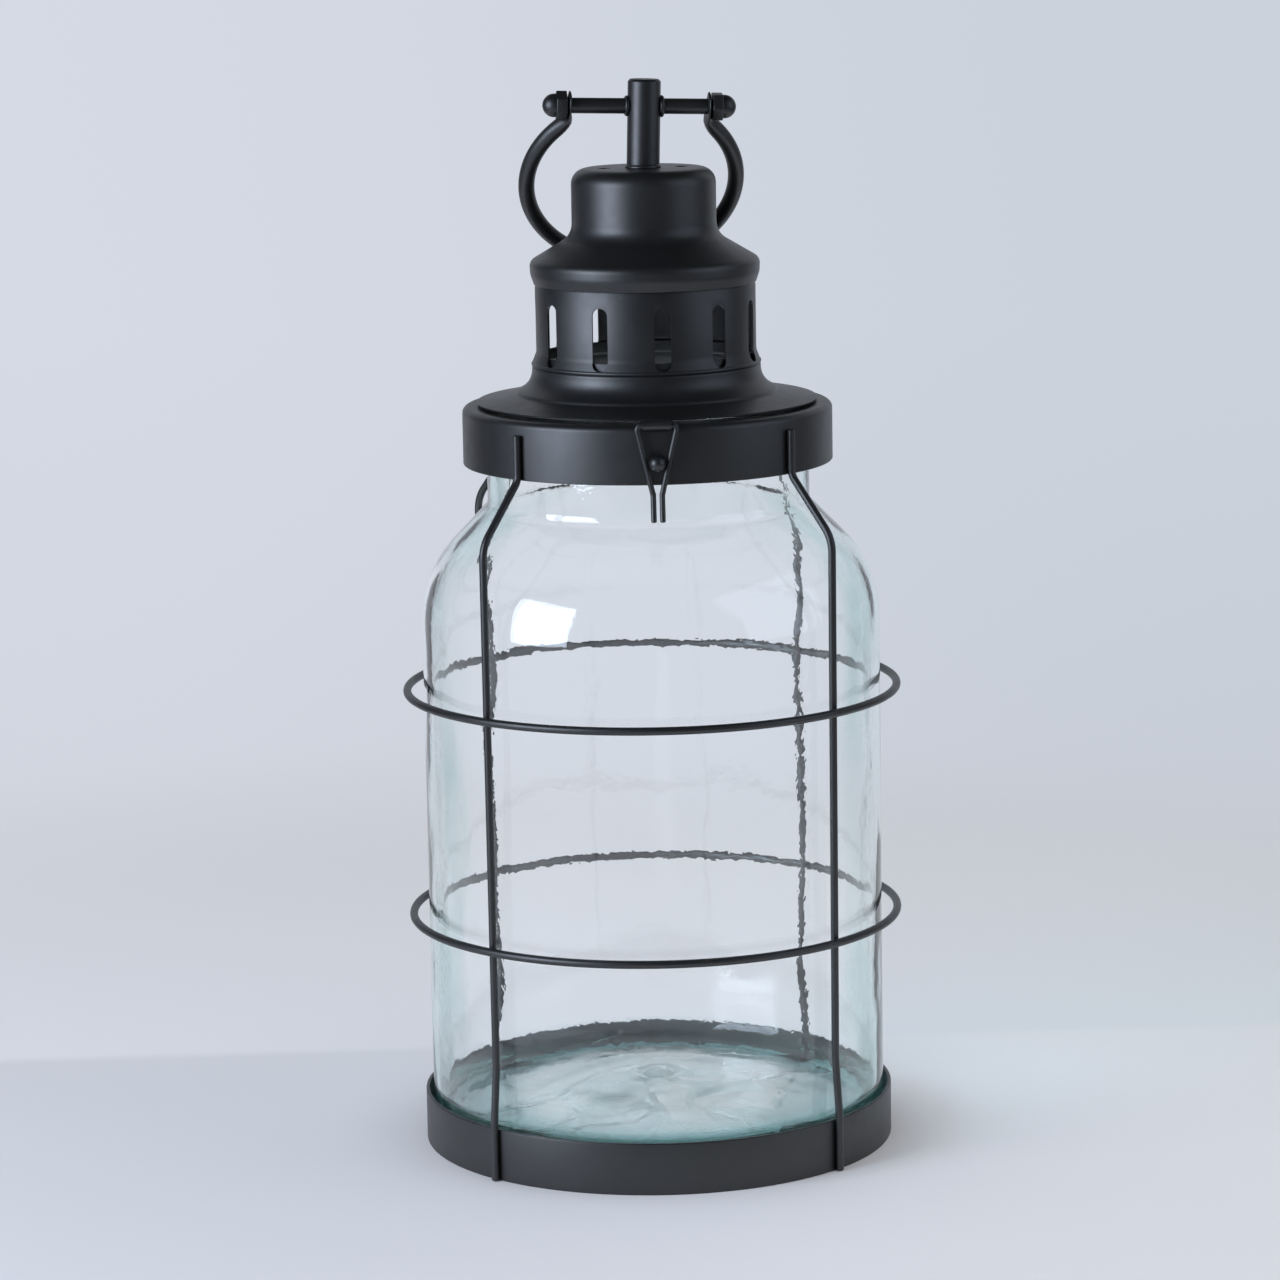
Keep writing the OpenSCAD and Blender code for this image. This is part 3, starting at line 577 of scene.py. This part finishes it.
def slot_angle(i, spread=5.0, drift=6.0):
    """Slots are punched by hand, not quite evenly."""
    even = i * 360 / SLOTS
    a = math.radians(even)
    return even + spread * math.sin(a) - drift * (1 - math.cos(a)) / 2


def slot_tool(angle):
    """A block with round ends, the punch of one vent slot."""
    reach = 30
    let_go()
    bpy.ops.mesh.primitive_circle_add(vertices=32, radius=SLOT_W / 2 * MM, fill_type="NGON",
                                      rotation=(math.pi / 2, 0, 0))
    obj = bpy.context.object
    settle(obj)
    open_up(obj)
    pick_points(obj, lambda p: p.z > 1e-4)
    bpy.ops.transform.translate(value=(0, 0, (SLOT_H - SLOT_W) * MM))
    bpy.ops.mesh.select_all(action="SELECT")
    bpy.ops.mesh.extrude_region_move(TRANSFORM_OT_translate={"value": (0, -reach * MM, 0)})
    bpy.ops.mesh.select_all(action="SELECT")
    bpy.ops.mesh.normals_make_consistent(inside=False)
    let_go()
    return placed(obj, turn_about("Z", angle) @ shift(0, -25, SEAM_Z + 1.2 + SLOT_W / 2))


def make_drum():
    flare, lap, roll = 1.5, 4.2, 0.95
    top = SKIRT_R - LID_T - 0.05
    path = outline([(DRUM_R + flare, SEAM_Z), (DRUM_R + flare, SEAM_Z + 1, 2), (DRUM_R, SEAM_Z + 5, 6),
                    (DRUM_R, SKIRT_Z - 1), (top, SKIRT_Z), (top, SKIRT_Z + lap)])
    drum = turned("vent_drum_slotted", sheet(path, LID_T), 240)
    cut(drum, [slot_tool(TOP_TURN + slot_angle(i)) for i in range(SLOTS)])
    # the foot is rolled over the base's bead
    foot = turned("foot_roll", circle(DRUM_R + roll, SEAM_Z + 0.45, roll, 12), 240)
    drum = join("vent_drum_slotted", [drum, foot])
    soften(drum, 30)
    return belongs(drum, "lid", BLACK, COAT, "vent_drum")


def make_crown():
    """Spun bell with two blind holes beside the post: its outer skin, as the outline ends at the pole."""
    edge = SKIRT_R + 1.6
    path = outline([(SKIRT_R, SKIRT_Z), (edge - 0.2, SKIRT_Z + 4.05, 7), (edge, EDGE_Z, 3.4),
                    (DOME_R, EDGE_Z + 10, 8), (DOME_R, CROWN_TOP, 6), (0, CROWN_TOP)], 10)
    crown = turned("crown_spun", sheet(path, LID_T), 256)
    on_top = turn_about("Z", TOP_TURN)
    cut(crown, [placed(bar(HOLE_R, 8), on_top @ shift(x, 0, CROWN_TOP)) for x in (-HOLE_X, HOLE_X)])
    soften(crown, 30)
    return belongs(crown, "lid", BLACK, COAT, "crown")


make_base()
make_drum()
make_crown()


# --- Handle -------------------------------------------------------------------

def make_post():
    r, h, bevel = POST_R, POST_H, 0.9
    path = outline([(0, 0), (r, 0), (r, h - bevel, 0.5), (r - bevel, h, 0.5), (0, h)], 5)
    post = placed(turned("lid_post_bar", path, 64), ON_POST)
    # the weld around its foot
    inner, low, high = r - 1.5, 0.05, 1.7
    path = outline([(inner, low), (r + 0.7, low, 0.2), (r + 0.5, 0.75, 0.4), (r - 0.4, high),
                    (inner, high), (inner, low)], 4)
    weld = placed(turned("foot_weld", path, 64), shift(0, 0, CROWN_TOP))
    return belongs(join("lid_post_bar", [post, weld]), "lid", BLACK, COAT, "lid_post")


def weld_bead(radius, thick, seed):
    """A lumpy ring of weld round a bar, turned about the upright axis."""
    bead = turned("bar_weld", circle(radius + thick * 0.2, 0, thick, 10), 26)
    open_up(bead)
    bpy.ops.transform.vertex_random(offset=thick * 0.22 * MM, seed=seed)
    let_go()
    return bead


def make_crossbar():
    """The bar, threaded from just outside the ears, and welded to the post on both sides."""
    r, pitch, depth = BAR_R, 1.0, 0.4
    half = EAR_IN + EAR_T + NUT_GAP + 3.4
    start = EAR_IN + 0.6
    thread = []
    z = start
    while z < half - 0.6:
        thread += [(r - 0.05, z), (r - depth, z + pitch / 2)]
        z += pitch
    path = [(0, -half), (r - 0.5, -half)] + [(p, -q) for p, q in reversed(thread)]
    path += [(r, -start + 0.5), (r, start - 0.5)] + thread + [(r - 0.5, half), (0, half)]
    pieces = [turned("crossbar_rod", path, 48)]
    for side, thick in ((-1, 0.85), (1, 1.05)):
        bead = weld_bead(r, thick, 3 + side)
        pieces.append(placed(bead, shift(0, 0, -BAR_SHIFT + side * (POST_R + 0.35))))
    crossbar = placed(join("crossbar_rod", pieces), ON_BAR @ LAY_ALONG_X)
    return belongs(crossbar, "lid", BLACK, COAT, "crossbar")


def make_nut(side, clock):
    """An acorn nut on one end of the crossbar, its flats stopped at a clock angle in degrees."""
    flats, thick, dome_r, tip = 10, 4.2, 4.6, 9.5
    let_go()
    bpy.ops.mesh.primitive_cylinder_add(vertices=6, radius=flats / 2 / math.cos(math.radians(30)) * MM,
                                        depth=thick * MM, location=(0, 0, thick / 2 * MM),
                                        rotation=(0, 0, math.radians(clock)))
    hexagon = bpy.context.object
    settle(hexagon)
    m = hexagon.modifiers.new("bevel", "BEVEL")
    m.width, m.segments, m.limit_method = 0.35 * MM, 3, "ANGLE"
    apply_all(hexagon)
    tidy(hexagon, 30)
    dome = outline([(dome_r, 4.0), (dome_r, 4.9), (dome_r, tip, dome_r - 0.01), (0, tip)], 12)
    nut = join("nut", [hexagon, turned("cap", dome, 40)])
    return placed(nut, ON_BAR @ turn_about("Z", side) @ shift(EAR_IN + EAR_T + NUT_GAP, 0, 0) @ LAY_ALONG_X)


def make_nuts():
    nuts = [make_nut(side, clock) for side, clock in ((0, 8), (180, 28))]
    return belongs(join("acorn_nuts_capped", nuts), "lid", BLACK, COAT, "acorn_nuts")


def make_bail():
    """Ring of rod, its two ends flattened into ears that hang on the crossbar."""
    half, steps, gap = BAIL_D / 2, 56, 3.5
    ear_x = EAR_IN + EAR_T / 2
    # the ear from its tip down to the ring: (x, z), half thickness, half width
    ear = [((ear_x, 5.2), 0.55, 2.6), ((ear_x, 3.9), 0.75, 4.6), ((ear_x, 0), 0.85, 5.8),
           ((ear_x, -4.2), 0.95, 5.2), ((ear_x + 0.3, -6.4), 2.5, 3.7)]
    start = math.asin((ear_x + 1.2) / BAIL_R)
    ring = []
    for i in range(steps + 1):
        a = start + math.radians(gap) + (2 * math.pi - 2 * start - math.radians(2 * gap)) * i / steps
        ring.append(((BAIL_R * math.sin(a), BAIL_R * math.cos(a) - BAIL_DROP), half, half))
    far_ear = [((-x, z), a, b) for (x, z), a, b in reversed(ear)]
    stops = ear + ring + far_ear
    stations = [Vector((x, 0, z)) for (x, z), a, b in stops]
    bail = rod("bail_ring", stations, [(a, b) for _, a, b in stops], sides=20, end=0.2)
    m = bail.modifiers.new("round", "SUBSURF")
    m.levels = m.render_levels = 1
    apply_all(bail)
    cut(bail, [placed(bar(BAR_R + 0.08, 90, 48), LAY_ALONG_X)])
    soften(bail, 38)
    placed(bail, ON_BAR @ turn_about("X", BAIL_LEAN))
    return belongs(bail, "bail", BLACK, COAT, "bail")


make_post()
make_crossbar()
make_nuts()
make_bail()


# --- Latch --------------------------------------------------------------------

def make_latch_wire():
    """Two legs that meet under the ball, each with its tail bent out to the finger."""
    halves = []
    for s in (-1, 1):
        leg = wire("leg", [(s * 1.3, 0, 0, 0), (s * 7.9, 0, 0, 1.76), (s * TAIL_SIDE, 0, -LATCH_DROP, 0)],
                   LATCH_WIRE_D, end=0.2)
        placed(leg, shift(0, -BARREL_Y, AXIS_Z))
        tail = wire("tail", [(0, 0, 0.6, 0), (0, 0, -10.2, 0)], LATCH_WIRE_D, end=0.4)
        placed(tail, shift(s * TAIL_SIDE, -BARREL_Y, AXIS_Z - LATCH_DROP) @ turn_about("X", -14))
        halves += [leg, tail]
    return belongs(join("latch_wire_sprung", halves), "latch", BLACK, WIRE_COAT, "latch_wire")


make_latch_wire()

for name in ("jar_tabs", "hinge_leaf", "hinge_pin", "hinge_strap", "latch_tab"):
    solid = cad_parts[name]
    solid.data.materials.clear()
    solid.data.materials.append(COAT)


# --- Studio -------------------------------------------------------------------

def pale_paper(name):
    """Matt background paper: lit near the lantern, its colour painted paler to the right, and further out a
    glowing sweep with painted light and shade that needs no light.
    """
    m, t = new_material(name)
    at = add(t, "ShaderNodeTexCoord").outputs["Object"]
    axes = add(t, "ShaderNodeSeparateXYZ", {0: at})
    x, y = axes.outputs["X"], axes.outputs["Y"]
    out = add(t, "ShaderNodeVectorMath", {"operation": "LENGTH", 0: at}).outputs["Value"]
    # the far sweep, a glow with painted light and shade: in tones by direction from the eye, paler to the
    # left and upwards
    back = add(t, "ShaderNodeMath", {"operation": "MAXIMUM", 0: y, 1: 0.0})
    run = add(t, "ShaderNodeMath", {"operation": "ADD", 0: back, 1: 1.83})
    aside = add(t, "ShaderNodeMath", {"operation": "DIVIDE", 0: x, 1: run})
    away = add(t, "ShaderNodeMath", {"operation": "DIVIDE", 0: back, 1: run})
    low = add(t, "ShaderNodeMapRange", SMOOTH | {"Value": aside, "From Min": -0.13, "From Max": 0.14})
    low = add(t, "ShaderNodeMix", COLOURS | {0: low, ONE: srgb("#cfd3dc"), TWO: srgb("#c6cbd5")})
    high = add(t, "ShaderNodeMapRange", SMOOTH | {"Value": aside, "From Min": -0.12, "From Max": 0.16})
    high = add(t, "ShaderNodeMix", COLOURS | {0: high, ONE: srgb("#d6dae5"), TWO: srgb("#cbd2dc")})
    climb = add(t, "ShaderNodeMapRange", {"Value": away, "From Min": 0.08, "From Max": 0.62})
    sweep = add(t, "ShaderNodeMix", COLOURS | {0: climb, ONE: low.outputs[MIXED], TWO: high.outputs[MIXED]})
    # the paper itself, where it is lit and holds the shadow; its colour carries painted light, paler to the
    # right, and changes tone past a line a little further back
    painted_light_behind = add(t, "ShaderNodeMapRange", SMOOTH | {"Value": x, "From Min": -0.3, "From Max": 0.3})
    painted_light_behind = add(t, "ShaderNodeMix", COLOURS | {0: painted_light_behind, ONE: srgb("#e7e7eb"), TWO: srgb("#e9ebee")})
    painted_light_ground = add(t, "ShaderNodeMapRange", SMOOTH | {"Value": x, "From Min": -0.25, "From Max": 0.25})
    painted_light_ground = add(t, "ShaderNodeMix", COLOURS | {0: painted_light_ground, ONE: srgb("#dbdce0"), TWO: srgb("#efeef0")})
    edge = add(t, "ShaderNodeMapRange", SMOOTH | {"Value": y, "From Min": 0.128, "From Max": 0.142})
    paper = add(t, "ShaderNodeMix",
                COLOURS | {0: edge, ONE: painted_light_ground.outputs[MIXED], TWO: painted_light_behind.outputs[MIXED]})
    lit = add(t, "ShaderNodeBsdfDiffuse", {"Color": paper.outputs[MIXED]})
    # in reflections the paper ends at the sides, and the room around it is dark
    near = add(t, "ShaderNodeMath", {"operation": "MAXIMUM", 0: y, 1: 0.05})
    beside = add(t, "ShaderNodeMath", {"operation": "DIVIDE", 0: x, 1: near})
    left = add(t, "ShaderNodeMapRange", SMOOTH | {"Value": beside, "From Min": -1.3, "From Max": -0.5})
    right = add(t, "ShaderNodeMapRange", SMOOTH | {"Value": beside, "From Min": 2.2, "From Max": 0.9})
    wide = add(t, "ShaderNodeMath", {"operation": "MULTIPLY", 0: left, 1: right})
    dark = add(t, "ShaderNodeMath", {"operation": "MULTIPLY_ADD", 0: wide, 1: 0.86, 2: 0.14})
    # to the eye, straight or through the jar, it is pale all round
    ray = add(t, "ShaderNodeLightPath").outputs
    seen = add(t, "ShaderNodeMath",
               {"operation": "MAXIMUM", 0: ray["Is Camera Ray"], 1: ray["Is Transmission Ray"]})
    glow = add(t, "ShaderNodeMath", {"operation": "MAXIMUM", 0: dark, 1: seen})
    glow = add(t, "ShaderNodeEmission", {"Color": sweep.outputs[MIXED], "Strength": glow})
    unlit = add(t, "ShaderNodeMapRange", SMOOTH | {"Value": out, "From Min": 0.42, "From Max": 0.85})
    far = add(t, "ShaderNodeMixShader", {0: unlit, 1: lit, 2: glow})
    # seen through the jar it also stands for the room that the glass would mirror
    veil = add(t, "ShaderNodeMath", {"operation": "MULTIPLY", 0: ray["Is Transmission Ray"], 1: 0.12})
    veil = add(t, "ShaderNodeEmission", {"Color": srgb("#d6dae3"), "Strength": veil})
    whole = add(t, "ShaderNodeAddShader", {0: far, 1: veil})
    add(t, "ShaderNodeOutputMaterial", {"Surface": whole})
    return m


def make_floor():
    """The paper, 60 m wide, lying flat."""
    let_go()
    bpy.ops.mesh.primitive_plane_add(size=60)
    floor = bpy.context.object
    floor.name = "floor"
    floor.data.materials.append(pale_paper("matt_pale_paper"))


def set_world():
    """Pale all round to the eye; in metal and glass the room is dark in front and overhead."""
    world = bpy.data.worlds.new("studio")
    bpy.context.scene.world = world
    world.use_nodes = True
    t = world.node_tree
    t.nodes.clear()
    way = add(t, "ShaderNodeSeparateXYZ", {0: add(t, "ShaderNodeTexCoord").outputs["Generated"]}).outputs
    # a pale patch behind, low down and not too far to either side
    patch = add(t, "ShaderNodeMapRange", SMOOTH | {"Value": way["Z"], "From Min": 0.75, "From Max": 0.35})
    for axis, none, full in (("X", -0.75, -0.4), ("X", 0.95, 0.6), ("Y", 0.0, 0.5)):
        side = add(t, "ShaderNodeMapRange", SMOOTH | {"Value": way[axis], "From Min": none, "From Max": full})
        patch = add(t, "ShaderNodeMath", {"operation": "MULTIPLY", 0: patch, 1: side})
    room = add(t, "ShaderNodeMix", COLOURS | {0: patch, ONE: srgb("#2c2e32"), TWO: srgb("#cdd2dc")})
    ray = add(t, "ShaderNodeLightPath").outputs
    soft = add(t, "ShaderNodeMix",
               COLOURS | {0: ray["Is Diffuse Ray"], ONE: room.outputs[MIXED], TWO: srgb("#c8c8c8")})
    seen = add(t, "ShaderNodeMath",
               {"operation": "MAXIMUM", 0: ray["Is Camera Ray"], 1: ray["Is Transmission Ray"]})
    whole = add(t, "ShaderNodeMix", COLOURS | {0: seen, ONE: soft.outputs[MIXED], TWO: srgb("#d2d7e2")})
    light = add(t, "ShaderNodeBackground", {"Color": whole.outputs[MIXED], "Strength": 1.0})
    add(t, "ShaderNodeOutputWorld", {"Surface": light})


def soft_box(name, place, target, size, power):
    """A cool rectangular lamp; place, target and size in metres, power in watts."""
    let_go()
    bpy.ops.object.light_add(type="AREA", location=place)
    lamp = bpy.context.object
    lamp.name = name
    lamp.data.shape = "RECTANGLE"
    lamp.data.size, lamp.data.size_y = size
    lamp.data.energy = power
    lamp.data.color = srgb("#d9e6fa")[:3]
    lamp.rotation_euler = (Vector(target) - Vector(place)).to_track_quat("-Z", "Y").to_euler()


make_floor()
set_world()
soft_box("key", (-1.2, -0.72, 0.56), (0, 0, 0.26), (0.85, 0.92), 19)
soft_box("fill", (1.55, -0.62, 0.85), (0, 0, 0.2), (1.5, 1.5), 6.5)

view = bpy.context.scene.view_settings
view.view_transform = "Standard"
